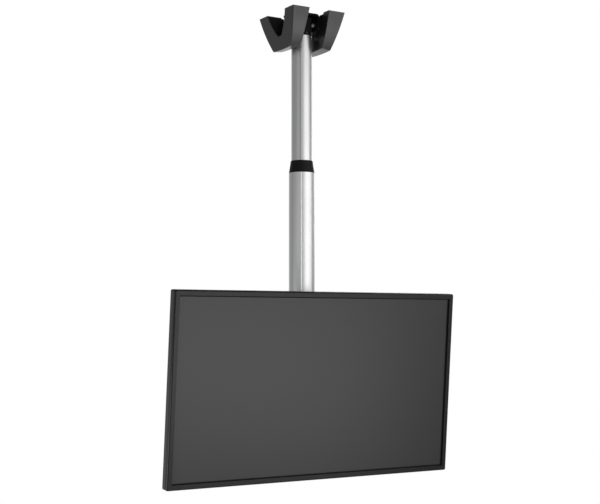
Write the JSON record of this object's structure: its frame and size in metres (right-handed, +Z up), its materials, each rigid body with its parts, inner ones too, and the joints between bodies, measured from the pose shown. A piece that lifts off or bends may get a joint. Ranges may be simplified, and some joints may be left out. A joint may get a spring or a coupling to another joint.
{
  "type": "tv ceiling mount",
  "caption": "Telescopic ceiling column with clawed ceiling bracket covers and a swivelling, tilting head that carries a flat display.",
  "frame": {"origin": "on the ceiling face of the bracket, on the axis of the column", "axes": "+Z up into the ceiling, the screen faces -Y, +X to the right for someone who looks at the screen"},
  "size_m": [0.961, 0.2309, 1.4011],
  "materials": {
    "black_steel": "satin black powder coat",
    "black_plastic": "satin moulded black",
    "black_casting": "black painted casting",
    "anodised": "satin clear anodised",
    "zinc": "zinc plated",
    "nylon": "natural nylon",
    "bezel_plastic": "dark grey moulded",
    "screen": "anti-glare dark screen",
    "cover_plastic": "fine textured black",
    "board": "circuit board",
    "terminal": "moulded black"
  },
  "bodies": {
    "ceiling_mount": {"ceiling_bracket": "black_steel", "left_cover": "black_plastic", "right_cover": "black_plastic", "cover_screws": "black_steel", "pole_head": "black_casting", "head_bolts": "black_steel", "head_bushes": "zinc", "head_set_screws": "zinc", "inner_tube": "anodised", "tube_screws": "zinc", "guide_bush": "black_plastic"},
    "lower_column": {"collar": "black_plastic", "outer_tube": "anodised", "height_lock_screws": "zinc", "bottom_plug": "black_casting", "plug_screws": "zinc", "stop_pin": "zinc", "swivel_washer": "nylon"},
    "swivel_yoke": {"yoke": "black_steel", "king_bolt": "zinc", "king_nut": "zinc", "tilt_pivots": "zinc", "tilt_locks": "zinc", "friction_washers": "nylon"},
    "screen_head": {"tilt_bracket": "black_steel", "cross_rail": "black_steel", "rail_bolts": "zinc", "left_arm": "black_steel", "right_arm": "black_steel", "arm_safety_screws": "zinc", "display_screws": "zinc", "display_bezel": "bezel_plastic", "display_panel": "screen", "display_rear_cover": "cover_plastic", "mount_posts": "zinc", "main_board": "board", "power_board": "board", "left_speaker": "cover_plastic", "right_speaker": "cover_plastic", "terminal_panel": "terminal", "power_inlet": "terminal", "rear_cover_screws": "zinc"}
  },
  "joints": [
    {"name": "height", "type": "slide", "parent": "ceiling_mount", "child": "lower_column", "axis": [0, 0, 1], "range_m": [-0.13, 0.25]},
    {"name": "swivel", "type": "hinge", "parent": "lower_column", "child": "swivel_yoke", "pos_m": [0, 0, -1.05], "axis": [0, 0, 1], "range_deg": [-90, 90]},
    {"name": "tilt", "type": "hinge", "parent": "swivel_yoke", "child": "screen_head", "pos_m": [0, -0.018, -1.118], "axis": [1, 0, 0], "range_deg": [-5, 15]}
  ]
}
